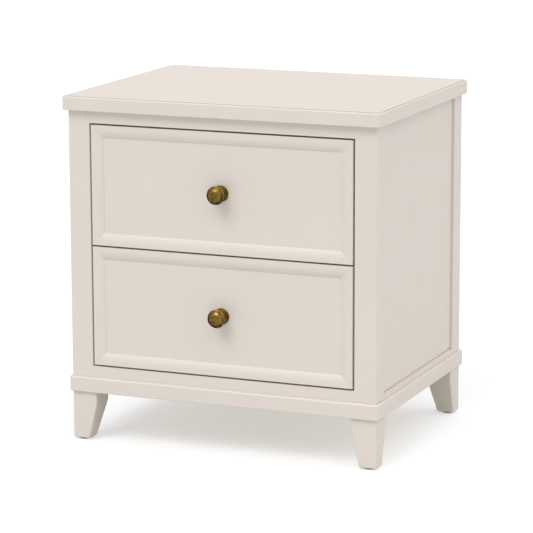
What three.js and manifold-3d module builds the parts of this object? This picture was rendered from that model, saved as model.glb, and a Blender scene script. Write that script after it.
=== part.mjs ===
// A two-drawer nightstand in painted wood: four corner posts carry a framed case, a thick top,
// a belt moulding round the base and four tapered feet. Each drawer is a plywood box behind an
// inset front, and runs out on a pair of three-part ball-bearing slides.
// Millimetres, +Z up, the drawers open towards -Y, origin at the bottom centre of the whole.

import * as THREE from "three";
import { mergeVertices } from "three/addons/utils/BufferGeometryUtils.js";
import Module from "manifold-3d";

// Overall
const WIDTH = 584; // top panel, side to side
const DEPTH = 457; // top panel, front to back
const HEIGHT = 610; // floor to the top's upper face
const JOINT_GAP = 0.3; // hairline between two pieces that touch

// Top panel
const TOP_THICKNESS = 25;
const TOP_SIDE_OVERHANG = 8.5;
const TOP_FRONT_OVERHANG = 10.5;
const TOP_REAR_OVERHANG = 9;
const TOP_CORNER_RADIUS = 8.5;
const TOP_EDGE_EASE = 1.5;
const TOP_STEP_INSET = 3; // the upper face stands in from the edge by this
const TOP_STEP_HEIGHT = 1;

// Case
const POST_SIZE = 40;
const SIDE_PANEL_THICKNESS = 12;
const SIDE_PANEL_RECESS = 4.5; // from the posts' outer faces
const RAIL_THICKNESS = 20;
const FRONT_TOP_RAIL_HEIGHT = 21.5;
const FRONT_BOTTOM_RAIL_HEIGHT = 47;
const SIDE_LOWER_RAIL_HEIGHT = 36.5;
const BACK_TOP_RAIL_HEIGHT = 50;
const BACK_PANEL_THICKNESS = 5;
const BACK_PANEL_RECESS = 6; // from the rear posts' back faces
const BASE_PANEL_THICKNESS = 12;
const SLIDE_BOARD_MARGIN = 40; // the board runs this far above and below the slides' centre lines
const TOP_CLEAT_SIZE = 20;

// Belt moulding
const BELT_HEIGHT = 27;
const BELT_PROUD = 5.5; // stands out from the posts by this
const BELT_CORNER_RADIUS = 9;
const BELT_TOP_BEVEL = 4;
const BELT_BOTTOM_EASE = 1.5;

// Feet
const FOOT_HEIGHT = 88; // floor to the underside of the case
const FOOT_PAST_POST_WIDTH = 6; // wider than the post above it, under the rails
const FOOT_PAST_POST_DEPTH = 8;
const FOOT_TOE = 31; // square end at the floor
const FOOT_STRAIGHT = 22; // length below the case before the taper starts
const FOOT_EASE = 2;
const GLIDE_THICKNESS = 2.5;
const GLIDE_RADIUS = 10;

// Drawer fronts
const DRAWER_COUNT = 2;
const DRAWER_GAP = 3; // reveal round and between the fronts
const FRONT_THICKNESS = 20;
const FRONT_BORDER = 6.5; // flat band at the edge
const FRONT_SLOPE_WIDTH = 14.5;
const FRONT_SLOPE_START = 0.8; // depth where the slope leaves the flat band
const FRONT_SLOPE_DEPTH = 3.4; // further depth at its foot
const FRONT_STEP = 1; // last small step down to the field

// Drawer boxes
const BOX_WALL = 12;
const BOX_BELOW_FRONT_TOP = 38; // top edge of the box, under the top edge of its front
const BOX_ABOVE_FRONT_FOOT = 20;
const BOX_REAR_CLEARANCE = 28.2; // closed box to back panel
const BOX_BOTTOM_THICKNESS = 6;
const BOX_BOTTOM_RAISE = 9; // underside of the bottom, above the sides' lower edge
const BOX_GROOVE_DEPTH = 6;

// Slides
const SLIDE_SPACE = 12.7; // between case and box on each side
const SLIDE_FRONT_SETBACK = 2;
const SLIDE_REAR_SETBACK = 26;
const SLIDE_SHEET = 1.2;
const SLIDE_ABOVE_BOX_FOOT = 74; // centre line of the slide
const SLIDE_OUTER_HALF = 22.5; // half heights of the three members
const SLIDE_MIDDLE_HALF = 19.5;
const SLIDE_INNER_HALF = 15.5;
const SLIDE_WEB_STEP = 2.8; // outer member's web to the middle member's
const SLIDE_OUTER_LIP = 3.4; // lips to the box, outer and middle member
const SLIDE_MIDDLE_LIP = 2.1;
const SLIDE_INNER_LIP = 0.9; // inner member's lips to the middle member's web

// Knobs
const KNOB_CAP_RADIUS = 16;
const KNOB_ROSETTE_RADIUS = 14;
const KNOB_NECK_RADIUS = 6.5;
const KNOB_LENGTH = 31;
const SCREW_RADIUS = 2;
const SCREW_HEAD_RADIUS = 4.5;
const SCREW_HEAD_HEIGHT = 2.6;
const SCREW_IN_KNOB = 13;
const SCREW_HOLE_RADIUS = 2.4;

// Places that follow from the sizes. Inside the stand's own group y = 0 is the posts' front plane.
const caseWidth = WIDTH - 2 * TOP_SIDE_OVERHANG;
const caseHalf = caseWidth / 2;
const caseDepth = DEPTH - TOP_FRONT_OVERHANG - TOP_REAR_OVERHANG;
const footWidth = POST_SIZE + FOOT_PAST_POST_WIDTH;
const footDepth = POST_SIZE + FOOT_PAST_POST_DEPTH;
const caseFoot = FOOT_HEIGHT;
const caseHead = HEIGHT - TOP_THICKNESS;
const openingHalf = caseHalf - POST_SIZE;
const openingFoot = caseFoot + FRONT_BOTTOM_RAIL_HEIGHT;
const openingHead = caseHead - FRONT_TOP_RAIL_HEIGHT;
const frontHeight = (openingHead - openingFoot - (DRAWER_COUNT + 1) * DRAWER_GAP) / DRAWER_COUNT;
const fieldDepth = FRONT_SLOPE_START + FRONT_SLOPE_DEPTH + FRONT_STEP;
const backPanelFace = caseDepth - BACK_PANEL_RECESS - BACK_PANEL_THICKNESS;
const boxFoot = BOX_ABOVE_FRONT_FOOT;
const boxHeight = frontHeight - BOX_BELOW_FRONT_TOP - BOX_ABOVE_FRONT_FOOT;
const boxHalf = openingHalf - SLIDE_SPACE;
const boxFrontY = FRONT_THICKNESS + JOINT_GAP;
const boxBackY = backPanelFace - BOX_REAR_CLEARANCE;
const slideFrontY = boxFrontY + SLIDE_FRONT_SETBACK;
const slideBackY = boxBackY - SLIDE_REAR_SETBACK;
const slideCentre = boxFoot + SLIDE_ABOVE_BOX_FOOT;
const standCentreY = (fieldDepth - JOINT_GAP - KNOB_LENGTH + caseDepth + TOP_REAR_OVERHANG) / 2;

// Materials
const paint = new THREE.MeshStandardMaterial({ color: 0xe0d7ce, roughness: 0.45, metalness: 0 });
const birch = new THREE.MeshStandardMaterial({ color: 0xd9bd92, roughness: 0.6, metalness: 0 });
const hardboard = new THREE.MeshStandardMaterial({ color: 0xcdbfa9, roughness: 0.7, metalness: 0 });
const steel = new THREE.MeshStandardMaterial({ color: 0xb9bcc0, roughness: 0.35, metalness: 0.9 });
const brass = new THREE.MeshStandardMaterial({ color: 0x8a6e2f, roughness: 0.35, metalness: 0.9 });
const nylon = new THREE.MeshStandardMaterial({ color: 0x3a3632, roughness: 0.7, metalness: 0 });

const wasm = await Module();
wasm.setup();

// A closed geometry as a manifold solid, and back again.
function solid(geometry) {
  const bare = geometry.clone();
  bare.deleteAttribute("normal");
  bare.deleteAttribute("uv");
  const merged = mergeVertices(bare, 1e-4);
  const vertProperties = new Float32Array(merged.attributes.position.array);
  const triVerts = new Uint32Array(merged.index.array);
  return new wasm.Manifold(new wasm.Mesh({ numProp: 3, vertProperties, triVerts }));
}

function skin(manifold) {
  const { vertProperties, triVerts } = manifold.getMesh();
  const geometry = new THREE.BufferGeometry();
  geometry.setAttribute("position", new THREE.BufferAttribute(vertProperties, 3));
  geometry.setIndex(new THREE.BufferAttribute(triVerts, 1));
  geometry.computeVertexNormals();
  return geometry;
}

// A rectangular board given by its limits along x, y and z.
function board([x0, x1], [y0, y1], [z0, z1]) {
  const geometry = new THREE.BoxGeometry(Math.abs(x1 - x0), y1 - y0, z1 - z0);
  return geometry.translate((x0 + x1) / 2, (y0 + y1) / 2, (z0 + z1) / 2);
}

// A prism along x (outline in y, z), along y (outline in x, z) or along z (outline in x, y).
function prism(axis, outline, from, to) {
  const points = outline.map(([u, v]) => new THREE.Vector2(u, v));
  const options = { depth: to - from, bevelEnabled: false };
  const geometry = new THREE.ExtrudeGeometry(new THREE.Shape(points), options);
  const [x, y, z] = [[1, 0, 0], [0, 1, 0], [0, 0, 1]].map((v) => new THREE.Vector3(...v));
  const turn = new THREE.Matrix4();
  if (axis === "x") turn.makeBasis(y, z, x);
  if (axis === "y") turn.makeBasis(x, z, y.clone().negate());
  geometry.applyMatrix4(turn);
  const shift = { x: [from, 0, 0], y: [0, to, 0], z: [0, 0, from] }[axis];
  return geometry.translate(...shift);
}

// A round bar along y.
function bar(x, z, radius, y0, y1) {
  const geometry = new THREE.CylinderGeometry(radius, radius, y1 - y0, 24);
  return geometry.translate(x, (y0 + y1) / 2, z);
}

// A plate in plan with rounded front and back corners and both its edges eased.
function easedPlate([x0, x1], [y0, y1], [z0, z1], frontRadius, backRadius, ease) {
  const shape = new THREE.Shape();
  const [l, r, f, b] = [x0 + ease, x1 - ease, y0 + ease, y1 - ease];
  const front = Math.max(frontRadius - ease, 0.2);
  const back = Math.max(backRadius - ease, 0.2);
  shape.moveTo(l + front, f);
  shape.lineTo(r - front, f);
  shape.absarc(r - front, f + front, front, -Math.PI / 2, 0);
  shape.lineTo(r, b - back);
  shape.absarc(r - back, b - back, back, 0, Math.PI / 2);
  shape.lineTo(l + back, b);
  shape.absarc(l + back, b - back, back, Math.PI / 2, Math.PI);
  shape.lineTo(l, f + front);
  shape.absarc(l + front, f + front, front, Math.PI, (3 * Math.PI) / 2);
  const geometry = new THREE.ExtrudeGeometry(shape, {
    depth: z1 - z0 - 2 * ease,
    bevelThickness: ease,
    bevelSize: ease,
    bevelSegments: 1,
    curveSegments: 4,
  });
  return geometry.translate(0, 0, z0 + ease);
}

const nightstand = new THREE.Group();
nightstand.position.y = -standCentreY;

function add(name, geometry, material) {
  const mesh = new THREE.Mesh(geometry, material);
  mesh.name = name;
  nightstand.add(mesh);
}

const SIDES = [["left", -1], ["right", 1]];
const ENDS = [["front", -1], ["rear", 1]];

// Limits along x of a layer between two distances from the middle, on the left or right side.
const across = (sign, inner, outer) => (sign < 0 ? [-outer, -inner] : [inner, outer]);

// Top: a slab with eased edges and a thin raised field that leaves a small step round its rim.
function buildTop() {
  const [x0, x1] = [-WIDTH / 2, WIDTH / 2];
  const [y0, y1] = [-TOP_FRONT_OVERHANG, caseDepth + TOP_REAR_OVERHANG];
  const rim = HEIGHT - TOP_STEP_HEIGHT;
  const slab = easedPlate([x0, x1], [y0, y1], [caseHead, rim], TOP_CORNER_RADIUS, TOP_CORNER_RADIUS,
    TOP_EDGE_EASE);
  const inset = TOP_STEP_INSET;
  const fieldRadius = TOP_CORNER_RADIUS - inset;
  const field = easedPlate([x0 + inset, x1 - inset], [y0 + inset, y1 - inset],
    [rim - TOP_EDGE_EASE, HEIGHT], fieldRadius, fieldRadius, TOP_STEP_HEIGHT / 2);
  add("top_panel", skin(solid(slab).add(solid(field))), paint);
}

// Posts stand on the feet and stop a hairline under the top.
function buildPosts() {
  for (const [side, sx] of SIDES)
    for (const [end, sy] of ENDS) {
      const y0 = sy < 0 ? 0 : caseDepth - POST_SIZE;
      const x = across(sx, openingHalf, caseHalf);
      add(`corner_post_${end}_${side}`,
        board(x, [y0, y0 + POST_SIZE], [caseFoot, caseHead - JOINT_GAP]), paint);
    }
}

// Between the posts: side panels over low flush rails, rails front and back, a back and a base.
// Inside each side a board carries the slides and a cleat takes the screws that hold the top.
function buildCase() {
  const between = [POST_SIZE + JOINT_GAP, caseDepth - POST_SIZE - JOINT_GAP];
  const sideRailHead = caseFoot + SIDE_LOWER_RAIL_HEIGHT;
  const panelOuter = caseHalf - SIDE_PANEL_RECESS;
  const panelInner = panelOuter - SIDE_PANEL_THICKNESS;
  const slideLow = openingFoot + DRAWER_GAP + slideCentre;
  const slideHigh = slideLow + (DRAWER_COUNT - 1) * (frontHeight + DRAWER_GAP);
  for (const [side, sx] of SIDES) {
    add(`side_panel_${side}`,
      board(across(sx, panelInner, panelOuter), between,
        [sideRailHead + JOINT_GAP, caseHead - JOINT_GAP]), paint);
    add(`side_lower_rail_${side}`,
      board(across(sx, caseHalf - RAIL_THICKNESS, caseHalf), between, [caseFoot, sideRailHead]), paint);
    add(`slide_board_${side}`,
      board(across(sx, openingHalf, panelInner - JOINT_GAP), between,
        [slideLow - SLIDE_BOARD_MARGIN, slideHigh + SLIDE_BOARD_MARGIN]), birch);
    const cleatOuter = panelInner - JOINT_GAP;
    add(`top_cleat_${side}`,
      board(across(sx, cleatOuter - TOP_CLEAT_SIZE, cleatOuter), between,
        [caseHead - JOINT_GAP - TOP_CLEAT_SIZE, caseHead - JOINT_GAP]), birch);
  }
  const span = [-openingHalf + JOINT_GAP, openingHalf - JOINT_GAP];
  const head = caseHead - JOINT_GAP;
  const backRail = [backPanelFace - JOINT_GAP - RAIL_THICKNESS, backPanelFace - JOINT_GAP];
  add("front_top_rail", board(span, [0, RAIL_THICKNESS], [openingHead, head]), paint);
  add("front_bottom_rail", board(span, [0, RAIL_THICKNESS], [caseFoot, openingFoot]), paint);
  add("back_top_rail", board(span, backRail, [caseHead - BACK_TOP_RAIL_HEIGHT, head]), birch);
  add("back_bottom_rail", board(span, backRail, [caseFoot, openingFoot]), birch);
  add("back_panel",
    board(span, [backPanelFace, backPanelFace + BACK_PANEL_THICKNESS], [caseFoot, head]), hardboard);

  // The base fills the ring of rails, notched round the four posts.
  const wide = caseHalf - RAIL_THICKNESS - JOINT_GAP;
  const narrow = openingHalf - JOINT_GAP;
  const [front, back] = [RAIL_THICKNESS + JOINT_GAP, backRail[0] - JOINT_GAP];
  const corners = [
    [narrow, front],
    [narrow, between[0]],
    [wide, between[0]],
    [wide, between[1]],
    [narrow, between[1]],
    [narrow, back],
  ];
  const mirrored = corners.map(([x, y]) => [-x, y]).reverse();
  add("base_panel",
    prism("z", [...corners, ...mirrored], caseFoot, caseFoot + BASE_PANEL_THICKNESS), birch);
}

// Belt: one bevelled moulding run, mitred at the front corners, with a short block over each
// rear foot.
function buildBelt() {
  const outer = caseHalf + BELT_PROUD;
  const inner = caseHalf + JOINT_GAP;
  const [low, high] = [caseFoot, caseFoot + BELT_HEIGHT];
  const depth = [-BELT_PROUD, caseDepth];
  const spare = BELT_HEIGHT; // keeps the far edge of each plate out of the run
  const bevelled = easedPlate([-outer, outer], [depth[0], caseDepth + spare], [low - spare, high],
    BELT_CORNER_RADIUS, 0, BELT_TOP_BEVEL);
  const eased = easedPlate([-outer, outer], [depth[0], caseDepth + spare], [low, high + spare],
    BELT_CORNER_RADIUS, 0, BELT_BOTTOM_EASE);
  const core = board([-inner, inner], [-JOINT_GAP, caseDepth + 2 * spare],
    [low - 2 * spare, high + 2 * spare]);
  const run = solid(bevelled).intersect(solid(eased)).subtract(solid(core));

  // Each piece is cut out of the run by its own outline. The mitres start at the case's corners.
  const half = JOINT_GAP / 2;
  const reach = caseDepth;
  const cut = (outline) => skin(run.intersect(solid(prism("z", outline, low - spare, high + spare))));
  const frontOutline = [
    [-caseHalf + half, 0],
    [-caseHalf + half - reach, -reach],
    [caseHalf - half + reach, -reach],
    [caseHalf - half, 0],
  ];
  add("belt_front", cut(frontOutline), paint);
  const seam = caseDepth - footDepth;
  for (const [side, sx] of SIDES) {
    const flank = [
      [sx * (caseHalf - JOINT_GAP), 0],
      [sx * (caseHalf + half), 0],
      [sx * (caseHalf + half + reach), -reach],
      [sx * (caseHalf + half + reach), seam - half],
      [sx * (caseHalf - JOINT_GAP), seam - half],
    ];
    const block = [
      [sx * (caseHalf - JOINT_GAP), seam + half],
      [sx * (caseHalf + reach), seam + half],
      [sx * (caseHalf + reach), caseDepth],
      [sx * (caseHalf - JOINT_GAP), caseDepth],
    ];
    add(`belt_side_${side}`, cut(flank), paint);
    add(`belt_rear_return_${side}`, cut(block), paint);
  }
}

// Feet: outer faces plumb, the two inner faces tapered, each on a nailed-on glide.
function buildFeet() {
  const head = caseFoot - JOINT_GAP;
  const sole = GLIDE_THICKNESS + JOINT_GAP;
  const knee = caseFoot - FOOT_STRAIGHT;
  const ease = FOOT_EASE;
  const profile = (size) => [
    [0, head],
    [0, sole + ease],
    [ease, sole],
    [FOOT_TOE - ease, sole],
    [FOOT_TOE, sole + ease],
    [size, knee],
    [size, head],
  ];
  for (const [side, sx] of SIDES)
    for (const [end, sy] of ENDS) {
      const [x0, y0] = [sx * caseHalf, sy < 0 ? 0 : caseDepth];
      const inX = profile(footWidth).map(([u, z]) => [x0 - sx * u, z]);
      const inY = profile(footDepth).map(([v, z]) => [y0 - sy * v, z]);
      const alongY = prism("y", inX, y0 - 2 * footDepth, y0 + 2 * footDepth);
      const alongX = prism("x", inY, x0 - 2 * footWidth, x0 + 2 * footWidth);
      add(`tapered_foot_${end}_${side}`, skin(solid(alongY).intersect(solid(alongX))), paint);
      const glide = new THREE.CylinderGeometry(GLIDE_RADIUS, GLIDE_RADIUS - 1, GLIDE_THICKNESS, 32);
      glide.rotateX(Math.PI / 2);
      glide.translate(x0 - (sx * FOOT_TOE) / 2, y0 - (sy * FOOT_TOE) / 2, GLIDE_THICKNESS / 2);
      add(`foot_glide_${end}_${side}`, glide, nylon);
    }
}

// Drawer front: a board with a sloped frame running down to a sunk field, bored for the knob screw.
function drawerFront(name, foot) {
  const half = openingHalf - DRAWER_GAP;
  const blank = board([-half, half], [0, FRONT_THICKNESS], [foot, foot + frontHeight]);
  const edge = FRONT_BORDER + FRONT_SLOPE_WIDTH;
  const field = [
    [-half + edge, foot + edge],
    [half - edge, foot + edge],
    [half - edge, foot + frontHeight - edge],
    [-half + edge, foot + frontHeight - edge],
  ];
  const slopeFoot = FRONT_SLOPE_START + FRONT_SLOPE_DEPTH;
  const shape = new THREE.Shape(field.map(([x, z]) => new THREE.Vector2(x, z)));
  const pocket = new THREE.ExtrudeGeometry(shape, {
    depth: FRONT_THICKNESS,
    bevelThickness: FRONT_SLOPE_DEPTH,
    bevelSize: FRONT_SLOPE_WIDTH,
    bevelSegments: 1,
  });
  const turn = new THREE.Matrix4().makeBasis(
    new THREE.Vector3(1, 0, 0), new THREE.Vector3(0, 0, 1), new THREE.Vector3(0, -1, 0));
  pocket.applyMatrix4(turn).translate(0, FRONT_SLOPE_START, 0);
  const sunk = prism("y", field, -FRONT_THICKNESS, slopeFoot + FRONT_STEP);
  const hole = bar(0, foot + frontHeight / 2, SCREW_HOLE_RADIUS, -1, FRONT_THICKNESS + 1);
  const cut = solid(blank).subtract(solid(pocket)).subtract(solid(sunk)).subtract(solid(hole));
  add(`${name}_front`, skin(cut), paint);
}

// Drawer box: grooved sides and front, a back that stands on the bottom panel, plywood throughout.
function drawerBox(name, foot) {
  const [z0, z1] = [foot + boxFoot, foot + boxFoot + boxHeight];
  const grooveFoot = z0 + BOX_BOTTOM_RAISE - JOINT_GAP;
  const grooveHead = z0 + BOX_BOTTOM_RAISE + BOX_BOTTOM_THICKNESS + JOINT_GAP;
  const grooved = (face, inward) => [
    [face, z0],
    [face, z1],
    [face + inward * BOX_WALL, z1],
    [face + inward * BOX_WALL, grooveHead],
    [face + inward * (BOX_WALL - BOX_GROOVE_DEPTH), grooveHead],
    [face + inward * (BOX_WALL - BOX_GROOVE_DEPTH), grooveFoot],
    [face + inward * BOX_WALL, grooveFoot],
    [face + inward * BOX_WALL, z0],
  ];
  for (const [side, sx] of SIDES)
    add(`${name}_box_${side}`, prism("y", grooved(sx * boxHalf, -sx), boxFrontY, boxBackY), birch);
  const within = boxHalf - BOX_WALL - JOINT_GAP;
  const front = solid(prism("x", grooved(boxFrontY, 1), -within, within));
  const hole = bar(0, foot + frontHeight / 2, SCREW_HOLE_RADIUS, 0, boxFrontY + 2 * BOX_WALL);
  add(`${name}_box_front`, skin(front.subtract(solid(hole))), birch);
  add(`${name}_box_back`,
    board([-within, within], [boxBackY - BOX_WALL, boxBackY], [grooveHead, z1]), birch);
  const bottomHalf = boxHalf - BOX_WALL + BOX_GROOVE_DEPTH - JOINT_GAP;
  const bottomFront = boxFrontY + BOX_WALL - BOX_GROOVE_DEPTH + JOINT_GAP;
  const bottomFoot = z0 + BOX_BOTTOM_RAISE;
  add(`${name}_box_bottom`,
    board([-bottomHalf, bottomHalf], [bottomFront, boxBackY],
      [bottomFoot, bottomFoot + BOX_BOTTOM_THICKNESS]), birch);
}

// Slide: three nested channels. The outer is fixed to the case, the inner to the drawer box.
function drawerSlides(name, foot) {
  const z = foot + slideCentre;
  const t = SLIDE_SHEET;
  const middleWeb = JOINT_GAP + SLIDE_WEB_STEP;
  const innerLip = middleWeb + t + SLIDE_INNER_LIP;
  const channel = (sx, web, lip, half) => {
    const x = (s) => sx * (openingHalf - s);
    const into = Math.sign(lip - web) * t;
    return [
      [x(web), z - half],
      [x(lip), z - half],
      [x(lip), z - half + t],
      [x(web + into), z - half + t],
      [x(web + into), z + half - t],
      [x(lip), z + half - t],
      [x(lip), z + half],
      [x(web), z + half],
    ];
  };
  for (const [side, sx] of SIDES) {
    const outer = channel(sx, JOINT_GAP, SLIDE_SPACE - SLIDE_OUTER_LIP, SLIDE_OUTER_HALF);
    const middle = channel(sx, middleWeb, SLIDE_SPACE - SLIDE_MIDDLE_LIP, SLIDE_MIDDLE_HALF);
    const inner = channel(sx, SLIDE_SPACE - JOINT_GAP, innerLip, SLIDE_INNER_HALF);
    add(`${name}_slide_outer_${side}`, prism("y", outer, slideFrontY, slideBackY), steel);
    add(`${name}_slide_middle_${side}`, prism("y", middle, slideFrontY, slideBackY), steel);
    add(`${name}_slide_inner_${side}`, prism("y", inner, slideFrontY, slideBackY), steel);
  }
}

// Knob: a turned brass mushroom on a round rosette, held by a screw from inside the box.
function drawerKnob(name, foot) {
  const z = foot + frontHeight / 2;
  const face = fieldDepth - JOINT_GAP;
  const [cap, rosette, neck, length] =
    [KNOB_CAP_RADIUS, KNOB_ROSETTE_RADIUS, KNOB_NECK_RADIUS, KNOB_LENGTH];
  const rim = length - 5;
  const turned = [
    [0, SCREW_IN_KNOB],
    [SCREW_HOLE_RADIUS, SCREW_IN_KNOB],
    [SCREW_HOLE_RADIUS, 0],
    [rosette, 0],
    [rosette, 1.5],
    [rosette - 1.5, 3],
    [neck + 2.5, 4.2],
    [neck, 7],
    [neck, rim - 9],
    [neck + 3, rim - 5],
    [cap - 1.5, rim - 2.5],
    [cap, rim],
    [cap - 1.5, rim + 2.3],
    [cap - 4, rim + 3.2],
    [cap - 8, length - 0.6],
    [0, length],
  ];
  const knob = new THREE.LatheGeometry(turned.map(([r, h]) => new THREE.Vector2(r, h)), 40);
  knob.rotateX(Math.PI).translate(0, face, z);
  add(`${name}_knob`, knob, brass);

  const headFace = boxFrontY + BOX_WALL + JOINT_GAP;
  const tip = face - SCREW_IN_KNOB + JOINT_GAP;
  const screw = [
    [0, 0],
    [SCREW_RADIUS, 0],
    [SCREW_RADIUS, headFace - tip],
    [SCREW_HEAD_RADIUS, headFace - tip],
    [SCREW_HEAD_RADIUS - 0.8, headFace - tip + SCREW_HEAD_HEIGHT],
    [0, headFace - tip + SCREW_HEAD_HEIGHT],
  ];
  const turnedScrew = new THREE.LatheGeometry(screw.map(([r, h]) => new THREE.Vector2(r, h)), 24);
  add(`${name}_knob_screw`, turnedScrew.translate(0, tip, z), steel);
}

buildTop();
buildPosts();
buildCase();
buildBelt();
buildFeet();
["lower_drawer", "upper_drawer"].forEach((name, row) => {
  const foot = openingFoot + DRAWER_GAP + row * (frontHeight + DRAWER_GAP);
  drawerFront(name, foot);
  drawerBox(name, foot);
  drawerSlides(name, foot);
  drawerKnob(name, foot);
});

export default nightstand;
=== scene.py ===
# A two-drawer nightstand: painted wood, brass knobs, plywood drawer boxes on steel slides.
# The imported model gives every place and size. The sections follow the order of assembly.

import math

import bmesh
import bpy
from mathutils import Matrix, Vector


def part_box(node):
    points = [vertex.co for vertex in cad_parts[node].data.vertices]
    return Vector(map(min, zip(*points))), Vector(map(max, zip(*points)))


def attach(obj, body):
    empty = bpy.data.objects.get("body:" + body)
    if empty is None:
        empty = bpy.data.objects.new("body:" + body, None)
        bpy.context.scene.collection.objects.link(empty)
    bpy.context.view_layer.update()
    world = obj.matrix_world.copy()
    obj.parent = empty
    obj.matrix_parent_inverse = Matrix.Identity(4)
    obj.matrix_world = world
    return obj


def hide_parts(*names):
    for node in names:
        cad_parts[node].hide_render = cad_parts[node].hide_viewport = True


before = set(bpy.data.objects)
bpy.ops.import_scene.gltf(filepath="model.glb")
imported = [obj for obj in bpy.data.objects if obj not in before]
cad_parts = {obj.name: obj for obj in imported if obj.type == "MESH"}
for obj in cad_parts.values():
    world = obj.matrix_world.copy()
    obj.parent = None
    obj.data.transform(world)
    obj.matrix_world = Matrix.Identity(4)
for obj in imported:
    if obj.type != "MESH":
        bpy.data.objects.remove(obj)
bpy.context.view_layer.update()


# ---- Camera ----
# A long lens without shift, well back and a little above the top, turned so that the front and
# the right side show.

scene = bpy.context.scene
AZIMUTH = math.radians(22.57)
ELEVATION = math.radians(11.52)
ROLL = math.radians(-0.18)
DISTANCE = 4.757
AIM = Vector((0.0, -0.005, 0.2917))

camera = bpy.data.objects.new("camera", bpy.data.cameras.new("camera"))
scene.collection.objects.link(camera)
scene.camera = camera
camera.data.sensor_width = 36
camera.data.lens = 181.4
camera.data.clip_end = 50
turn = (
    Matrix.Rotation(AZIMUTH, 3, "Z")
    @ Matrix.Rotation(math.pi / 2 - ELEVATION, 3, "X")
    @ Matrix.Rotation(ROLL, 3, "Z")
)
camera.location = AIM + turn @ Vector((0, 0, DISTANCE))
camera.rotation_euler = turn.to_euler()


# ---- Top panel ----
# A thick painted slab, glued up and routed: round corners, a soft lower edge, and a rounded rim
# a small step below the flat field. It lies on the posts and rails and is screwed from below.

MM = 0.001


def linear(hex_colour):
    """An sRGB hex colour as linear red, green, blue and alpha."""
    parts = [int(hex_colour[i : i + 2], 16) / 255 for i in (1, 3, 5)]
    return [c / 12.92 if c <= 0.04045 else ((c + 0.055) / 1.055) ** 2.4 for c in parts] + [1]


def node(tree, kind, settings):
    """Adds a node. A setting is an attribute, or an input given as a value or as a socket to link."""
    made = tree.nodes.new(kind)
    for key, value in settings.items():
        if isinstance(key, str) and hasattr(made, key):
            setattr(made, key, value)
        elif isinstance(value, bpy.types.NodeSocket):
            tree.links.new(value, made.inputs[key])
        else:
            made.inputs[key].default_value = value
    return made


def satin_paint(name, colour, shade):
    """Sprayed satin enamel over primed wood: even, a faint orange peel, barely cloudy in tone."""
    material = bpy.data.materials.new(name)
    material.use_nodes = True
    tree = material.node_tree
    shader = tree.nodes["Principled BSDF"]
    place = node(tree, "ShaderNodeTexCoord", {}).outputs["Object"]
    # clouds a hand's breadth across, from spray passes that overlap
    clouds = node(tree, "ShaderNodeTexNoise", {"Vector": place, "Scale": 1 / 0.09, "Detail": 3})
    tone = node(tree, "ShaderNodeMix", {
        "data_type": "RGBA", 0: clouds.outputs["Fac"], 6: linear(shade), 7: linear(colour)})
    tree.links.new(tone.outputs[2], shader.inputs["Base Color"])
    # sheen varies a little where the coat is thinner
    sheen = node(tree, "ShaderNodeTexNoise", {"Vector": place, "Scale": 1 / 0.03, "Detail": 2})
    rough = node(tree, "ShaderNodeMapRange", {
        "Value": sheen.outputs["Fac"], "To Min": 0.36, "To Max": 0.46})
    tree.links.new(rough.outputs["Result"], shader.inputs["Roughness"])
    # orange peel is about 1 mm across on the real coat, drawn at 2 mm so that it shows at all
    peel = node(tree, "ShaderNodeTexNoise", {"Vector": place, "Scale": 1 / 0.002, "Detail": 2})
    bump = node(tree, "ShaderNodeBump", {
        "Height": peel.outputs["Fac"], "Strength": 0.25, "Distance": 0.03 * MM})
    tree.links.new(bump.outputs["Normal"], shader.inputs["Normal"])
    shader.inputs["IOR"].default_value = 1.5
    return material


ivory = satin_paint("ivory satin enamel", "#E3DAD0", "#E0D6CB")


def loft(rings, sharp_corners=False):
    """A closed mesh through equal rings of points, with flat ends. Corners can be kept sharp."""
    shape = bmesh.new()
    rows = [[shape.verts.new(point) for point in ring] for ring in rings]
    count = len(rows[0])
    for low, high in zip(rows, rows[1:]):
        for i in range(count):
            j = (i + 1) % count
            shape.faces.new((low[i], low[j], high[j], high[i]))
    shape.faces.new(rows[0][::-1])
    shape.faces.new(rows[-1])
    if sharp_corners:
        for low, high in zip(rows, rows[1:]):
            for a, b in zip(low, high):
                shape.edges.get((a, b)).smooth = False
    bmesh.ops.recalc_face_normals(shape, faces=shape.faces[:])
    return shape


CREASE = math.radians(32)


def piece(name, shape, body, material, replaced=()):
    """Finishes a mesh as a piece of the object: shading, material, body and CAD nodes."""
    mesh = bpy.data.meshes.new(name)
    shape.to_mesh(mesh)
    shape.free()
    kept_sharp = [edge.use_edge_sharp for edge in mesh.edges]
    mesh.shade_smooth()
    mesh.set_sharp_from_angle(angle=CREASE)
    for edge, sharp in zip(mesh.edges, kept_sharp):
        edge.use_edge_sharp = edge.use_edge_sharp or sharp
    made = bpy.data.objects.new(name, mesh)
    scene.collection.objects.link(made)
    mesh.materials.append(material)
    evened = made.modifiers.new("even normals", "WEIGHTED_NORMAL")
    evened.keep_sharp = True
    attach(made, body)
    if replaced:
        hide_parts(*replaced)
    return made


def quarter(steps):
    """The angles of a quarter turn in equal steps, with both ends."""
    return [math.pi / 2 * i / steps for i in range(steps + 1)]


def round_outline(low, high, radius, z, inset=0.0, steps=6):
    """A rectangle in plan with round corners, as points at height z, drawn in by inset."""
    radius = max(radius - inset, 0.2 * MM)
    points = []
    for k, (sx, sy) in enumerate([(1, -1), (1, 1), (-1, 1), (-1, -1)]):
        cx = (high.x if sx > 0 else low.x) - sx * (inset + radius)
        cy = (high.y if sy > 0 else low.y) - sy * (inset + radius)
        for i in range(steps + 1):
            angle = math.pi / 2 * (k - 1 + i / steps)
            points.append((cx + radius * math.cos(angle), cy + radius * math.sin(angle), z))
    return points


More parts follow.
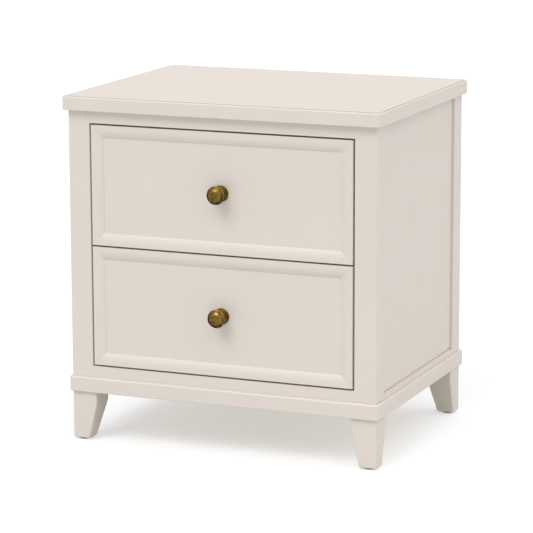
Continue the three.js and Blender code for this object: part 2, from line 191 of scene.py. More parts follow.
TOP_CORNER = 8.5 * MM
TOP_LOWER_EASE = 1.5 * MM
TOP_RIM = 3.0 * MM
TOP_RIM_ROUND = 2.6 * MM
TOP_STEP = 1.0 * MM
QUIRK_LIP = 0.1 * MM
QUIRK_DEPTH = 0.7 * MM
QUIRK_NEAR = TOP_RIM + 0.3 * MM
QUIRK_FAR = TOP_RIM + 1.3 * MM
FIELD_EDGE = TOP_RIM + 0.6 * MM
FIELD_FLAT = TOP_RIM + 1.0 * MM
FIELD_ARRIS = 0.15 * MM

low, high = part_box("top_panel")
rim_height = high.z - TOP_STEP
profile = [(TOP_LOWER_EASE * (1 - math.sin(a)), low.z + TOP_LOWER_EASE * (1 - math.cos(a)))
           for a in quarter(3)]
profile += [(TOP_RIM_ROUND * (1 - math.cos(a)), rim_height - TOP_RIM_ROUND * (1 - math.sin(a)))
            for a in quarter(6)]
# a quirk cut in under the edge of the field draws the dark line inside the rim
profile += [
    (TOP_RIM, rim_height - QUIRK_LIP),
    (QUIRK_NEAR, rim_height - QUIRK_DEPTH),
    (QUIRK_FAR, rim_height - QUIRK_DEPTH),
    (FIELD_EDGE, high.z - FIELD_ARRIS),
    (0.75 * FIELD_EDGE + 0.25 * FIELD_FLAT, high.z - 0.2 * FIELD_ARRIS),
    (FIELD_FLAT, high.z),
]
rings = [round_outline(low, high, TOP_CORNER, z, inset) for inset, z in profile]
piece("painted_top", loft(rings), "case", ivory, ["top_panel"])


# ---- Posts, side panels and rails ----
# Poplar posts with softened corners, rails flush between them and flat side panels set back. All
# are dowelled and glued, the rails' joints are filled flush with the posts, and the frame is
# sprayed as one.


def eased_board(low, high, ease, segments=3):
    """A board between two corners with all its edges rounded over."""
    shape = bmesh.new()
    bmesh.ops.create_cube(shape, size=1.0)
    size, middle = high - low, (low + high) / 2
    for vert in shape.verts:
        vert.co = Vector(v * s + m for v, s, m in zip(vert.co, size, middle))
    bmesh.ops.bevel(
        shape, geom=shape.edges[:], offset=ease, segments=segments, profile=0.5,
        affect="EDGES", clamp_overlap=True)
    return shape


POST_EASE = 1.8 * MM
RAIL_EASE = 0.2 * MM
PANEL_EASE = 1.5 * MM

for cad_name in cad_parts:
    # a rail runs over the softened corners of its posts, as the filled joint does
    if cad_name.startswith("corner_post"):
        ease, over = POST_EASE, Vector((0, 0, 0))
    elif cad_name.startswith("side_panel"):
        ease, over = PANEL_EASE, Vector((0, 0, 0))
    elif cad_name.startswith("side_lower_rail"):
        ease, over = RAIL_EASE, Vector((0, POST_EASE, 0))
    elif cad_name.startswith(("front_top_rail", "front_bottom_rail")):
        ease, over = RAIL_EASE, Vector((POST_EASE, 0, 0))
    else:
        continue
    low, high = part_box(cad_name)
    piece("painted_" + cad_name, eased_board(low - over, high + over, ease), "case", ivory,
          [cad_name])


# ---- Belt moulding ----
# A solid wood strip planed with a rounded upper edge, pinned and glued round the base. It is
# mitred at the front corners, where it is sanded round, and butts on a block over each rear foot.

BELT_UPPER = 3.4 * MM
BELT_LOWER = 1.6 * MM
BELT_BACK = 0.3 * MM
BELT_CORNER = 9 * MM
BELT_CORNER_LEAST = 0.15
CORNER_STEPS = 6
MITRE_GAP = 0.05 * MM
BLOCK_EASE = 0.5 * MM

post_low, post_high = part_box("corner_post_front_right")
case_half, case_front = post_high.x, post_low.y
belt_low, belt_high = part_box("belt_front")
proud = case_front - belt_low.y

# the strip's section: how far out from the case, and the height
section = [(BELT_BACK, belt_low.z)]
section += [(proud - BELT_LOWER * (1 - math.sin(a)), belt_low.z + BELT_LOWER * (1 - math.cos(a)))
            for a in quarter(4)]
section += [(proud - BELT_UPPER * (1 - math.cos(a)), belt_high.z - BELT_UPPER * (1 - math.sin(a)))
            for a in quarter(8)]
section.append((BELT_BACK, belt_high.z))


def belt_corner(offset, share):
    """Plan point on the round front right corner, from 0 at the front run to 1 at the side run."""
    radius = BELT_CORNER * max(offset / proud, BELT_CORNER_LEAST)
    angle = math.pi / 2 * (share - 1)
    return (case_half + offset - radius * (1 - math.cos(angle)),
            case_front - offset + radius * (1 + math.sin(angle)))


half_corner = [0.5 * i / CORNER_STEPS for i in range(CORNER_STEPS + 1)]
right_half = [[(*belt_corner(o, s), z) for o, z in section] for s in half_corner]
right_half[-1] = [(x - MITRE_GAP, y, z) for x, y, z in right_half[-1]]
left_half = [[(-x, y, z) for x, y, z in ring] for ring in right_half[::-1]]
piece("painted_belt_front", loft(left_half + right_half), "case", ivory,
      ["belt_front"])
for side, sign in (("left", -1), ("right", 1)):
    block_low, block_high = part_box("belt_rear_return_" + side)
    seam, block_end = block_low.y, block_high.y
    flank = [[(*belt_corner(o, 1 - s), z) for o, z in section] for s in half_corner[::-1]]
    flank.append([(case_half + o, seam - 2 * MITRE_GAP, z) for o, z in section])
    flank = [[(sign * x, y, z) for x, y, z in ring] for ring in flank]
    piece("painted_belt_" + side, loft(flank), "case", ivory,
          ["belt_side_" + side])
    stations = ((seam, BLOCK_EASE), (seam + BLOCK_EASE, 0), (block_end - BLOCK_EASE, 0),
                (block_end, BLOCK_EASE))
    block = [[(sign * (case_half + max(o - eased, BELT_BACK)), y, z) for o, z in section]
             for y, eased in stations]
    piece("painted_belt_return_" + side, loft(block), "case", ivory,
          ["belt_rear_return_" + side])


# ---- Feet ----
# Tapered poplar blocks, plumb outside and sawn to a taper on the two inner faces, with a bolt up
# into the post. The knee where the taper starts is sanded soft, and so is the edge of the sole.

FOOT_KNEE = 22 * MM
FOOT_TOE = 31 * MM
FOOT_CORNER = 2.6 * MM
KNEE_ABOVE = 1.5 * MM
KNEE_BELOW = (0.4 * MM, 2.5 * MM)
SOLE_ROUND = 2.4 * MM
SOLE_START = 3.0 * MM
SOLE_WIDER = 0.6 * MM
SOLE_DEEPER = 0.7 * MM

for side, sx in (("left", -1), ("right", 1)):
    for end, sy in (("front", -1), ("rear", 1)):
        cad_name = f"tapered_foot_{end}_{side}"
        low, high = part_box(cad_name)
        outer = Vector((high.x if sx > 0 else low.x, high.y if sy > 0 else low.y))
        wide, deep = high.x - low.x, high.y - low.y
        knee = high.z - FOOT_KNEE
        # height, width, depth and how far all four faces are drawn in
        levels = [(high.z, wide, deep, 0.0), (knee + KNEE_ABOVE, wide, deep, 0.0)]
        for drop in KNEE_BELOW:
            share = drop / (knee - low.z)
            levels.append((knee - drop, wide + (FOOT_TOE - wide) * share,
                           deep + (FOOT_TOE - deep) * share, 0.0))
        levels.append((low.z + SOLE_START, FOOT_TOE + SOLE_WIDER, FOOT_TOE + SOLE_DEEPER, 0.0))
        levels += [(low.z + SOLE_ROUND * (1 - math.sin(a)), FOOT_TOE, FOOT_TOE,
                    SOLE_ROUND * (1 - math.cos(a))) for a in quarter(4)[1:]]
        rings = []
        for z, w, d, inset in levels:
            inner = Vector((outer.x - sx * w, outer.y - sy * d))
            near = Vector((min(outer.x, inner.x), min(outer.y, inner.y)))
            far = Vector((max(outer.x, inner.x), max(outer.y, inner.y)))
            rings.append(round_outline(near, far, FOOT_CORNER + inset, z, inset, steps=4))
        piece(f"painted_foot_{end}_{side}", loft(rings), "case", ivory, [cad_name])


# ---- Drawer fronts ----
# Boards routed with a shallow convex frame that falls to a sunk flat field, square at the corners
# like a mitre. Each is screwed on from inside its drawer box.

FRONT_FLAT = 6.5 * MM
FRONT_CURVE = 14.5 * MM
FRONT_FIELD = 5.2 * MM
FRONT_STEP = 0.9 * MM
FRONT_STEP_LEAN = 0.25 * MM
FRONT_STEP_FOOT = 0.6 * MM
FRONT_FILLET = 0.1 * MM
FRONT_ARRIS = 0.5 * MM
CURVE_STEPS = 8

for row in ("lower", "upper"):
    low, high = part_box(row + "_drawer_front")
    face = low.y
    # how far in from the edge, and the depth
    profile = [(FRONT_ARRIS, high.y), (0.0, high.y - FRONT_ARRIS)]
    profile += [(FRONT_ARRIS * (1 - math.cos(a)), face + FRONT_ARRIS * (1 - math.sin(a)))
                for a in quarter(3)]
    fall = FRONT_FIELD - FRONT_STEP
    for i in range(CURVE_STEPS + 1):
        t = i / CURVE_STEPS
        profile.append((FRONT_FLAT + FRONT_CURVE * t, face + fall * t * t))
    step = FRONT_FLAT + FRONT_CURVE
    profile.append((step + FRONT_STEP_LEAN, face + FRONT_FIELD - FRONT_FILLET))
    profile.append((step + FRONT_STEP_FOOT, face + FRONT_FIELD))
    rings = [[(low.x + s, y, low.z + s), (high.x - s, y, low.z + s), (high.x - s, y, high.z - s),
              (low.x + s, y, high.z - s)] for s, y in profile]
    piece("painted_front_" + row, loft(rings, sharp_corners=True), row + "_drawer", ivory,
          [row + "_drawer_front"])


# ---- Knobs ----
# Cast brass mushroom knobs, turned and browned, then rubbed back so that the crown and rings shine
# and the hollows and the rim stay dark. The upper right of each knob is painted lighter as a highlight
# and the lower left darker as shade. Each stands on a turned rosette.


def antique_brass():
    """Antique brass: a brown patina over the metal, worn away and lightened as a painted highlight,
    both where attribute rubbed_and_painted_light is high.
    """
    material = bpy.data.materials.new("antique brass")
    material.use_nodes = True
    tree = material.node_tree
    shader = tree.nodes["Principled BSDF"]
    shader.inputs["Metallic"].default_value = 1.0
    # waxed, which pales the glint
    shader.inputs["Coat Weight"].default_value = 0.14
    shader.inputs["Coat Roughness"].default_value = 0.22
    place = node(tree, "ShaderNodeTexCoord", {}).outputs["Object"]
    rubbed_and_painted_light = node(tree, "ShaderNodeAttribute", {"attribute_name": "rubbed_and_painted_light"})
    # patches about 5 mm across break up the rubbing
    patches = node(tree, "ShaderNodeTexNoise", {
        "Vector": place, "Scale": 1 / 0.005, "Detail": 5, "Roughness": 0.62})
    uneven = node(tree, "ShaderNodeMapRange", {
        "Value": patches.outputs["Fac"], "From Min": 0.3, "From Max": 0.7, "To Min": -0.3,
        "To Max": 0.3})
    bare_and_painted_light = node(tree, "ShaderNodeMath", {
        "operation": "ADD", "use_clamp": True, 0: rubbed_and_painted_light.outputs["Fac"], 1: uneven.outputs["Result"]})
    # bright brass where the metal is worn bare and where the highlight is painted, brown patina
    # elsewhere
    tone = node(tree, "ShaderNodeMix", {
        "data_type": "RGBA", 0: bare_and_painted_light.outputs["Value"], 6: linear("#2F2008"), 7: linear("#B08E45")})
    tree.links.new(tone.outputs[2], shader.inputs["Base Color"])
    rough = node(tree, "ShaderNodeMapRange", {
        "Value": bare_and_painted_light.outputs["Value"], "To Min": 0.5, "To Max": 0.28})
    tree.links.new(rough.outputs["Result"], shader.inputs["Roughness"])
    # the cast skin, with pits about 1.2 mm across
    fine = node(tree, "ShaderNodeTexNoise", {"Vector": place, "Scale": 1 / 0.0012, "Detail": 3})
    bump = node(tree, "ShaderNodeBump", {
        "Height": fine.outputs["Fac"], "Strength": 0.3, "Distance": 0.06 * MM})
    tree.links.new(bump.outputs["Normal"], shader.inputs["Normal"])
    return material


brass = antique_brass()


def arc(cx, cy, rx, ry, start, end, steps, rubbed_and_painted_light):
    """Radius, height and rubbing of points on an ellipse arc, in degrees."""
    turns = [math.radians(start + (end - start) * i / steps) for i in range(steps + 1)]
    return [(cx + rx * math.cos(t), cy + ry * math.sin(t), rubbed_and_painted_light) for t in turns]


# radius and height in mm above the drawer front, and how far the patina is rubbed away, from the
# rosette and its ring up the hollow neck
knob_profile = [(2.4, 0.02, 0.0), (14.0, 0.0, 0.0)]
knob_profile += arc(12.9, 1.5, 1.1, 1.3, -60, 90, 6, 0.25)
knob_profile += [(12.0, 2.6, 0.05)]
knob_profile += arc(10.9, 3.5, 1.0, 0.8, -60, 90, 5, 0.5)
knob_profile += [(9.6, 4.4, 0.3), (8.0, 5.1, 0.2), (7.0, 6.3, 0.05), (6.5, 8.5, 0.05),
                 (6.3, 11.5, 0.05), (6.5, 14.5, 0.05), (7.2, 17.0, 0.05)]
# the underside of the head, its rim, the bead inside the rim and the crown
knob_profile += arc(9.6, 18.9, 1.3, 0.9, -60, 60, 4, 0.1)
knob_profile += [(11.0, 20.3, 0.0), (13.2, 21.4, 0.1)]
knob_profile += arc(14.4, 23.3, 1.6, 1.7, -60, 60, 6, 0.35)
knob_profile += [(14.75, 25.15, 0.0)]
knob_profile += arc(13.9, 26.0, 1.0, 1.1, -30, 110, 6, 0.25)
knob_profile += [(13.1, 26.95, 0.25), (12.6, 26.8, 0.2), (12.1, 27.15, 0.3)]
knob_profile += [(11.4, 27.8, 0.45), (10.4, 28.55, 0.52), (8.8, 29.4, 0.55), (6.6, 30.2, 0.5),
                 (4.0, 30.75, 0.45), (1.5, 30.97, 0.45), (0.3, 31.0, 0.45)]
knob_radius = max(radius for radius, height, rubbed_and_painted_light in knob_profile)
KNOB_POINTS = 64
angles = [2 * math.pi * i / KNOB_POINTS for i in range(KNOB_POINTS)]
# the upper right of each knob is painted lighter as a painted highlight, and the lower left darker as
# painted shade
PAINTED_LIGHT_LEAN = 0.28
PAINTED_LIGHT_TOWARDS = math.radians(55)

for row in ("lower", "upper"):
    low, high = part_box(row + "_drawer_knob")
    length = high.y - low.y
    centre = Vector(((low.x + high.x) / 2, high.y, (low.z + high.z) / 2))
    rings = []
    for radius, height, rubbed_and_painted_light in knob_profile:
        r, h = radius * MM, height * length / knob_profile[-1][1]
        rings.append([(centre.x + r * math.cos(a), centre.y - h, centre.z + r * math.sin(a))
                      for a in angles])
    knob = piece("brass_knob_" + row, loft(rings), row + "_drawer", brass,
                 [row + "_drawer_knob"])
    # each ring's wear, plus a lean that paints a highlight on the upper right and shade on the lower
    # left
    wear = knob.data.attributes.new("rubbed_and_painted_light", "FLOAT", "POINT")
    wear.data.foreach_set("value", [
        rubbed_and_painted_light + PAINTED_LIGHT_LEAN * radius / knob_radius * math.cos(a - PAINTED_LIGHT_TOWARDS)
        for radius, height, rubbed_and_painted_light in knob_profile for a in angles])


# ---- Foot glides ----
# Round glides moulded in dark nylon, with a rounded rim, each nailed to the sole of a foot.


def dark_nylon():
    """Moulded nylon, nearly black and dull, with the fine sparkle of its mould and floor scuffs."""
    material = bpy.data.materials.new("dark nylon")
    material.use_nodes = True
    tree = material.node_tree
    shader = tree.nodes["Principled BSDF"]
    place = node(tree, "ShaderNodeTexCoord", {}).outputs["Object"]
    # scuffs about 3 mm across
    scuffs = node(tree, "ShaderNodeTexNoise", {"Vector": place, "Scale": 1 / 0.003, "Detail": 4})
    tone = node(tree, "ShaderNodeMix", {
        "data_type": "RGBA", 0: scuffs.outputs["Fac"], 6: linear("#2B2825"), 7: linear("#47423D")})
    tree.links.new(tone.outputs[2], shader.inputs["Base Color"])
    rough = node(tree, "ShaderNodeMapRange", {
        "Value": scuffs.outputs["Fac"], "To Min": 0.45, "To Max": 0.7})
    tree.links.new(rough.outputs["Result"], shader.inputs["Roughness"])
    # the mould's spark-eroded grain, 0.8 mm
    grain = node(tree, "ShaderNodeTexNoise", {"Vector": place, "Scale": 1 / 0.0008, "Detail": 2})
    bump = node(tree, "ShaderNodeBump", {
        "Height": grain.outputs["Fac"], "Strength": 0.4, "Distance": 0.05 * MM})
    tree.links.new(bump.outputs["Normal"], shader.inputs["Normal"])
    shader.inputs["IOR"].default_value = 1.53
    return material


nylon = dark_nylon()
GLIDE_RIM = 1.0 * MM
GLIDE_POINTS = 40
angles = [2 * math.pi * i / GLIDE_POINTS for i in range(GLIDE_POINTS)]

for side in ("left", "right"):
    for end in ("front", "rear"):
        cad_name = f"foot_glide_{end}_{side}"
        low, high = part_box(cad_name)
        radius, middle = (high.x - low.x) / 2, (low + high) / 2
        levels = [(radius, high.z)]
        levels += [(radius - GLIDE_RIM * (1 - math.cos(a)), low.z + GLIDE_RIM * (1 - math.sin(a)))
                   for a in quarter(4)]
        rings = [[(middle.x + r * math.cos(a), middle.y + r * math.sin(a), z) for a in angles]
                 for r, z in levels]
        piece("nylon_" + cad_name, loft(rings), "case", nylon, [cad_name])


# ---- Case inside ----
# Birch plywood boards under clear lacquer: the base, the back rails, the boards that carry the
# slides and the cleats under the top. They are sawn, lightly sanded and screwed.


def birch_plywood(name, thin, grain):
    """Birch plywood: pale fine-grained faces, and edges striped by its layers across axis thin."""
    material = bpy.data.materials.new(name)
    material.use_nodes = True
    tree = material.node_tree
    shader = tree.nodes["Principled BSDF"]
    texture = node(tree, "ShaderNodeTexCoord", {})
    # birch grain: streaks 4 mm wide that run about 200 mm, and pores 0.6 mm wide and 15 mm long
    streak_scale = [1 / 0.2 if axis == grain else 1 / 0.004 for axis in "xyz"]
    pore_scale = [1 / 0.015 if axis == grain else 1 / 0.0006 for axis in "xyz"]
    stretched = node(tree, "ShaderNodeMapping", {
        "Vector": texture.outputs["Object"], "Scale": streak_scale})
    streaks = node(tree, "ShaderNodeTexNoise", {
        "Vector": stretched.outputs["Vector"], "Scale": 1.0, "Detail": 4, "Distortion": 0.6})
    fine = node(tree, "ShaderNodeMapping", {
        "Vector": texture.outputs["Object"], "Scale": pore_scale})
    pores = node(tree, "ShaderNodeTexNoise", {
        "Vector": fine.outputs["Vector"], "Scale": 1.0, "Detail": 2})
    face = node(tree, "ShaderNodeMix", {
        "data_type": "RGBA", 0: streaks.outputs["Fac"], 6: linear("#D2B488"), 7: linear("#E4CDA6")})
    # the layers are 1.4 mm thick, and every other one shows its end grain and is darker
    along = node(tree, "ShaderNodeSeparateXYZ", {"Vector": texture.outputs["Object"]})
    layer = node(tree, "ShaderNodeMath", {
        "operation": "PINGPONG", 0: along.outputs[thin.upper()], 1: 1.4 * MM})
    ply = node(tree, "ShaderNodeMapRange", {
        "Value": layer.outputs["Value"], "From Min": 0.55 * MM, "From Max": 0.85 * MM})
    edge = node(tree, "ShaderNodeMix", {
        "data_type": "RGBA", 0: ply.outputs["Result"], 6: linear("#DCC195"), 7: linear("#A98357")})
    facing = node(tree, "ShaderNodeSeparateXYZ", {"Vector": texture.outputs["Normal"]})
    flat = node(tree, "ShaderNodeMath", {"operation": "ABSOLUTE", 0: facing.outputs[thin.upper()]})
    on_face = node(tree, "ShaderNodeMath", {
        "operation": "GREATER_THAN", 0: flat.outputs["Value"], 1: 0.6})
    tone = node(tree, "ShaderNodeMix", {
        "data_type": "RGBA", 0: on_face.outputs["Value"], 6: edge.outputs[2], 7: face.outputs[2]})
    tree.links.new(tone.outputs[2], shader.inputs["Base Color"])
    rough = node(tree, "ShaderNodeMapRange", {
        "Value": pores.outputs["Fac"], "To Min": 0.42, "To Max": 0.62})
    tree.links.new(rough.outputs["Result"], shader.inputs["Roughness"])
    bump = node(tree, "ShaderNodeBump", {
        "Height": pores.outputs["Fac"], "Strength": 0.4, "Distance": 0.08 * MM})
    tree.links.new(bump.outputs["Normal"], shader.inputs["Normal"])
    shader.inputs["IOR"].default_value = 1.5
    return material


ply_flat = birch_plywood("birch plywood, laid flat", "z", "x")
ply_flank = birch_plywood("birch plywood, on edge along the side", "x", "y")
ply_across = birch_plywood("birch plywood, on edge across", "y", "x")
SAWN_EASE = 0.5 * MM

inner_boards = [("base_panel", ply_flat), ("back_top_rail", ply_across),
                ("back_bottom_rail", ply_across)]
for side in ("left", "right"):
    inner_boards += [("slide_board_" + side, ply_flank), ("top_cleat_" + side, ply_flank)]
for cad_name, material in inner_boards:
    piece("plywood_" + cad_name, eased_board(*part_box(cad_name), SAWN_EASE), "case", material,
          [cad_name])


# ---- Back panel ----
# Thin hardboard painted to match, let in behind the back rails and fixed with a row of zinc-plated
# cross-head screws along each rail.


def rolled_zinc():
    """Zinc-plated rolled steel: bluish grey, dull bright, with faint rolling lines and spangle."""
    material = bpy.data.materials.new("zinc-plated steel")
    material.use_nodes = True
    tree = material.node_tree
    shader = tree.nodes["Principled BSDF"]
    shader.inputs["Metallic"].default_value = 1.0
    place = node(tree, "ShaderNodeTexCoord", {}).outputs["Object"]
    # plating clouds 8 mm across, and rolling lines 0.8 mm apart that run the length of the strip
    clouds = node(tree, "ShaderNodeTexNoise", {"Vector": place, "Scale": 1 / 0.008, "Detail": 4})
    tone = node(tree, "ShaderNodeMix", {
        "data_type": "RGBA", 0: clouds.outputs["Fac"], 6: linear("#A9ADB3"), 7: linear("#CACCCF")})
    tree.links.new(tone.outputs[2], shader.inputs["Base Color"])
    rough = node(tree, "ShaderNodeMapRange", {
        "Value": clouds.outputs["Fac"], "To Min": 0.28, "To Max": 0.42})
    tree.links.new(rough.outputs["Result"], shader.inputs["Roughness"])
    lines = node(tree, "ShaderNodeMapping", {
        "Vector": place, "Scale": (1 / 0.0008, 1 / 0.08, 1 / 0.0008)})
    rolled = node(tree, "ShaderNodeTexNoise", {
        "Vector": lines.outputs["Vector"], "Scale": 1.0, "Detail": 2})
    bump = node(tree, "ShaderNodeBump", {
        "Height": rolled.outputs["Fac"], "Strength": 0.25, "Distance": 0.03 * MM})
    tree.links.new(bump.outputs["Normal"], shader.inputs["Normal"])
    return material


zinc = rolled_zinc()


def screw_heads(name, places, facing, radius, height, body, replaced=(), shank=0.0):
    """Cross-head screws at places on a surface, with domed heads that stand out along facing."""
    facing = Vector(facing)
    across = facing.orthogonal().normalized()
    upward = facing.cross(across)
    # the recess is a cross with arms this wide and long
    w, arm = 0.16 * radius, 0.55 * radius
    cross = [(arm, -w), (arm, w), (w, w), (w, arm), (-w, arm), (-w, w), (-arm, w), (-arm, -w),
             (-w, -w), (-w, -arm), (w, -arm), (w, -w)]
    # midpoints give the cross the 24 points of the round rings outside it
    cross = [p for a, b in zip(cross, cross[1:] + cross[:1])
             for p in (a, ((a[0] + b[0]) / 2, (a[1] + b[1]) / 2))]
    angles = [math.atan2(y, x) for x, y in cross]
    stem = 0.45 * radius
    profile = [(stem, -shank), (stem, 0.0)] if shank else []
    profile += [(radius, 0.0), (radius, 0.35 * height), (0.93 * radius, 0.7 * height),
                (0.78 * radius, 0.92 * height), (0.64 * radius, height)]
    rings = [[(r * math.cos(a), r * math.sin(a), h) for a in angles] for r, h in profile]
    rings.append([(x, y, height) for x, y in cross])
    rings.append([(0.8 * x, 0.8 * y, 0.35 * height) for x, y in cross])
    whole = bmesh.new()
    for place in places:
        one = loft([[Vector(place) + x * across + y * upward + h * facing for x, y, h in ring]
                    for ring in rings])
        held = bpy.data.meshes.new("held")
        one.to_mesh(held)
        one.free()
        whole.from_mesh(held)
        bpy.data.meshes.remove(held)
    return piece(name, whole, body, zinc, replaced)


hardboard = satin_paint("painted hardboard", "#D8CDC0", "#D0C5B7")
HARDBOARD_EASE = 0.4 * MM
BACK_SCREW_SHARES = (-0.92, -0.46, 0.0, 0.46, 0.92)
BACK_SCREW_RADIUS = 4 * MM
BACK_SCREW_HEAD = 1.6 * MM

low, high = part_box("back_panel")
piece("hardboard_back", eased_board(low, high, HARDBOARD_EASE), "case", hardboard,
      ["back_panel"])
places = []
for rail in ("back_bottom_rail", "back_top_rail"):
    rail_low, rail_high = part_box(rail)
    for share in BACK_SCREW_SHARES:
        places.append((share * rail_high.x, high.y, (rail_low.z + rail_high.z) / 2))
screw_heads("zinc_back_screws", places, (0, 1, 0), BACK_SCREW_RADIUS, BACK_SCREW_HEAD, "case")


# ---- Drawer boxes ----
# Birch plywood boxes, butted, glued and screwed at the corners, with the top edges sanded round and
# a thin bottom in a groove. Screws from inside hold the painted front, and one holds the knob.

BOX_EASE = 1.2 * MM
CORNER_SCREW_ENDS = 18 * MM
CORNER_SCREW_LOW = 40 * MM
CORNER_SCREW_RADIUS = 3 * MM
CORNER_SCREW_HEAD = 0.5 * MM
FRONT_SCREW_SHARE = 0.62
FRONT_SCREW_RISE = 45 * MM
FRONT_SCREW_RADIUS = 4.5 * MM
FRONT_SCREW_HEAD = 2 * MM
HEAD_CLEAR = 0.05 * MM

for row in ("lower", "upper"):
    box = row + "_drawer_box_"
    body = row + "_drawer"
    for part, material in (("left", ply_flank), ("right", ply_flank), ("front", ply_across),
                           ("back", ply_across), ("bottom", ply_flat)):
        ease = SAWN_EASE if part == "bottom" else BOX_EASE
        piece("plywood_" + box + part, eased_board(*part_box(box + part), ease), body, material,
              [box + part])
    for side, sign in (("left", -1), ("right", 1)):
        low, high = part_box(box + side)
        outside = max(abs(low.x), abs(high.x)) * sign
        places = []
        for part in ("front", "back"):
            joint_low, joint_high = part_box(box + part)
            for z in (low.z + CORNER_SCREW_ENDS, low.z + CORNER_SCREW_LOW, high.z - CORNER_SCREW_ENDS):
                places.append((outside, (joint_low.y + joint_high.y) / 2, z))
        screw_heads(f"zinc_corner_screws_{row}_{side}", places, (sign, 0, 0), CORNER_SCREW_RADIUS,
                    CORNER_SCREW_HEAD, body)
    low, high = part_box(box + "front")
    middle_z = (low.z + high.z) / 2
    places = [(x * FRONT_SCREW_SHARE * high.x, high.y, middle_z + z * FRONT_SCREW_RISE)
              for x in (-1, 1) for z in (-1, 1)]
    screw_heads("zinc_front_screws_" + row, places, (0, 1, 0), FRONT_SCREW_RADIUS,
                FRONT_SCREW_HEAD, body)
    screw_low, screw_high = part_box(row + "_drawer_knob_screw")
    radius = (screw_high.x - screw_low.x) / 2
    middle = (screw_low + screw_high) / 2
    seat = high.y + HEAD_CLEAR
    screw_heads("zinc_knob_screw_" + row, [(middle.x, seat, middle.z)], (0, 1, 0), radius,
                screw_high.y - seat, body, [row + "_drawer_knob_screw"], high.y - screw_low.y)


# ---- Slides ----
# Three-part ball-bearing slides, 350 mm long, rolled from zinc-plated strip: an outer member on the
# case, a middle one, and an inner one on the drawer box, with balls held in cages between them.

STRIP = 1.2 * MM
BEND = 1.6 * MM
CURL_DROP = 0.5 * MM
CURL_TIP = 1.0 * MM
CURL_RUN = 2.2 * MM


def rolled_channel(low, high, web_x, flange_x):
    """A channel bent from strip, web at web_x, with flanges to flange_x that curl in at the end."""
    sign = 1 if flange_x > web_x else -1
    half = STRIP / 2
    web, tip = web_x + sign * half, flange_x
    top, bottom = high.z - half, low.z + half
    upper = [(tip, top - CURL_DROP), (tip - sign * CURL_TIP, top - CURL_DROP),
             (tip - sign * CURL_RUN, top)]
    upper += [(web + sign * BEND * (1 - math.sin(a)), top - BEND * (1 - math.cos(a)))
              for a in quarter(4)]
    spine = upper + [(x, top + bottom - z) for x, z in upper[::-1]]
    outer_side, inner_side = [], []
    for i, (x, z) in enumerate(spine):
        before, after = spine[max(i - 1, 0)], spine[min(i + 1, len(spine) - 1)]
        run = Vector((after[0] - before[0], after[1] - before[1])).normalized()
        outer_side.append((x - run.y * half, z + run.x * half))
        inner_side.append((x + run.y * half, z - run.x * half))
    outline = outer_side + inner_side[::-1]
    return loft([[(x, y, z) for x, z in outline] for y in (low.y, high.y)])


def ball_row(whole, x, z, y_start, count, spacing, radius):
    """Adds a row of bearing balls and the strip of cage that holds them."""
    for i in range(count):
        place = Matrix.Translation((x, y_start + i * spacing, z))
        bmesh.ops.create_uvsphere(whole, u_segments=12, v_segments=8, radius=radius, matrix=place)
    length = (count - 1) * spacing + 4 * radius
    middle = Vector((x, y_start + (count - 1) * spacing / 2, z))
    strip = bmesh.ops.create_cube(whole, size=1.0)["verts"]
    for vert in strip:
        across, along, up = vert.co
        vert.co = middle + Vector((across * 3 * radius, along * length, up * 0.5 * radius))
    # all the strip's edges, each once
    edges = list(dict.fromkeys(edge for vert in strip for edge in vert.link_edges))
    bmesh.ops.bevel(whole, geom=edges, offset=0.1 * radius, segments=2, affect="EDGES")


BALL_SPACING = 8 * MM
BALLS = 13
BALL_FILL = 0.46  # radius, as a share of the gap that the balls run in
CAGE_RUN = (BALLS - 1) * BALL_SPACING
CAGE_FROM_END = 20 * MM
OUTER_CAGE_IN = 2.4 * MM
SLIDE_SCREW_FROM_END = 35 * MM
SLIDE_SCREW_RADIUS = 3.5 * MM
INNER_SCREW_HEAD = 1.4 * MM
OUTER_SCREW_HEAD = 0.9 * MM

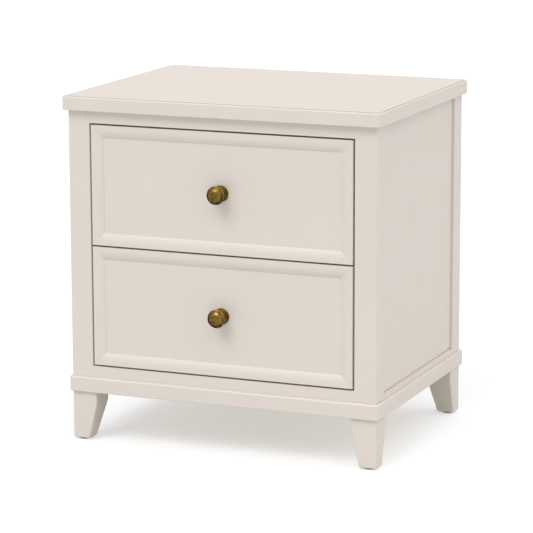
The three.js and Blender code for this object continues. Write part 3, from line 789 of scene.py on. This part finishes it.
for row in ("lower", "upper"):
    for side, sign in (("left", -1), ("right", 1)):
        bodies = {"outer": "case", "middle": row + "_slide_middles", "inner": row + "_drawer"}
        spans = {}
        for member, body in bodies.items():
            cad_name = f"{row}_drawer_slide_{member}_{side}"
            low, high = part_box(cad_name)
            near, far = (low.x, high.x) if sign > 0 else (high.x, low.x)
            spans[member] = (low, high, near, far)
            web, tip = (near, far) if member == "inner" else (far, near)
            piece(f"zinc_slide_{member}_{row}_{side}", rolled_channel(low, high, web, tip), body,
                  zinc, [cad_name])
        # screws through the webs of the two members that are fixed to wood
        low, high, near, far = spans["inner"]
        middle_z = (low.z + high.z) / 2
        stations = (low.y + SLIDE_SCREW_FROM_END, (low.y + high.y) / 2,
                    high.y - SLIDE_SCREW_FROM_END)
        places = [(near + sign * STRIP, y, middle_z) for y in stations]
        screw_heads(f"zinc_inner_screws_{row}_{side}", places, (sign, 0, 0), SLIDE_SCREW_RADIUS,
                    INNER_SCREW_HEAD, bodies["inner"])
        low, high, near, far = spans["outer"]
        places = [(far - sign * STRIP, y, middle_z) for y in stations]
        screw_heads(f"zinc_outer_screws_{row}_{side}", places, (-sign, 0, 0), SLIDE_SCREW_RADIUS,
                    OUTER_SCREW_HEAD, bodies["outer"])
        # one cage sits behind the middle member's centre, outside it, and one ahead, inside it
        cages = bmesh.new()
        low, high, near, far = spans["middle"]
        outer_half = (spans["outer"][1].z - spans["outer"][0].z) / 2 - STRIP
        middle_half = (high.z - low.z) / 2
        inner_half = (spans["inner"][1].z - spans["inner"][0].z) / 2
        for up in (-1, 1):
            gap = outer_half - middle_half
            ball_row(cages, far - sign * OUTER_CAGE_IN, middle_z + up * (middle_half + gap / 2),
                     high.y - CAGE_FROM_END - CAGE_RUN, BALLS, BALL_SPACING, BALL_FILL * gap)
            gap = middle_half - STRIP - inner_half
            ball_row(cages, (near + far) / 2, middle_z + up * (inner_half + gap / 2),
                     low.y + CAGE_FROM_END, BALLS, BALL_SPACING, BALL_FILL * gap)
        piece(f"bearing_balls_{row}_{side}", cages, bodies["middle"], zinc)


# ---- Studio ----
# A matt white sheet under and behind the object, in a wide soft white dome of light, with a
# large lamp in front on the left, one behind on the right and a weak warm one on the right. A
# small lamp in front on the right puts the glint on the knobs.

SHEET = 30.0
SHEET_GLOW = 0.1
SHEET_GLOW_SEEN = 0.36
DOME = 0.6
DOME_SEEN = 0.5

sheet_mesh = bpy.data.meshes.new("studio_sheet")
sheet_mesh.from_pydata(
    [(-SHEET, -SHEET, 0), (SHEET, -SHEET, 0), (SHEET, SHEET, 0), (-SHEET, SHEET, 0)],
    [], [(0, 1, 2, 3)])
sheet = bpy.data.objects.new("studio_sheet", sheet_mesh)
scene.collection.objects.link(sheet)
sheet_white = bpy.data.materials.new("white paper sheet")
sheet_white.use_nodes = True
sheet_mesh.materials.append(sheet_white)
paper = sheet_white.node_tree.nodes["Principled BSDF"]
paper.inputs["Base Color"].default_value = (0.6, 0.62, 0.645, 1)
paper.inputs["Roughness"].default_value = 1.0
paper.inputs["Specular IOR Level"].default_value = 0.0
paper.inputs["Emission Color"].default_value = (1, 1, 1, 1)
# it looks brighter than it lights, so that the floor stays white and the shadows stay soft
seen = node(sheet_white.node_tree, "ShaderNodeLightPath", {})
glow = node(sheet_white.node_tree, "ShaderNodeMath", {
    "operation": "MULTIPLY_ADD", 0: seen.outputs["Is Camera Ray"], 1: SHEET_GLOW_SEEN, 2: SHEET_GLOW})
sheet_white.node_tree.links.new(glow.outputs["Value"], paper.inputs["Emission Strength"])

surround = bpy.data.worlds.new("white surround")
scene.world = surround
surround.use_nodes = True
backdrop = surround.node_tree.nodes["Background"]
backdrop.inputs["Color"].default_value = (1, 1, 1, 1)
# past full white to the eye, and little more than half of that as a lamp
rays = node(surround.node_tree, "ShaderNodeLightPath", {})
strength = node(surround.node_tree, "ShaderNodeMath", {
    "operation": "MULTIPLY_ADD", 0: rays.outputs["Is Camera Ray"], 1: DOME_SEEN, 2: DOME})
surround.node_tree.links.new(strength.outputs["Value"], backdrop.inputs["Strength"])

# name, degrees round from the front towards the right, degrees up, width in degrees, strength,
# colour
for name, round_from_front, up, width, power, colour in (
    ("key", -18, 52, 36, 1.25, (1, 1, 1)),
    ("glint", 48, 48, 22, 0.2, (1, 1, 1)),
    ("right_back", 125, 64, 60, 0.6, (1, 1, 1)),
    ("right_fill", 88, 28, 50, 0.36, (1, 0.94, 0.82)),
):
    lamp = bpy.data.lights.new(name, "SUN")
    lamp.energy = power
    lamp.color = colour
    lamp.angle = math.radians(width)
    a, e = math.radians(round_from_front), math.radians(up)
    towards = Vector((math.sin(a) * math.cos(e), -math.cos(a) * math.cos(e), math.sin(e)))
    light = bpy.data.objects.new(name, lamp)
    scene.collection.objects.link(light)
    light.rotation_euler = towards.to_track_quat("Z", "Y").to_euler()

scene.view_settings.view_transform = "Standard"
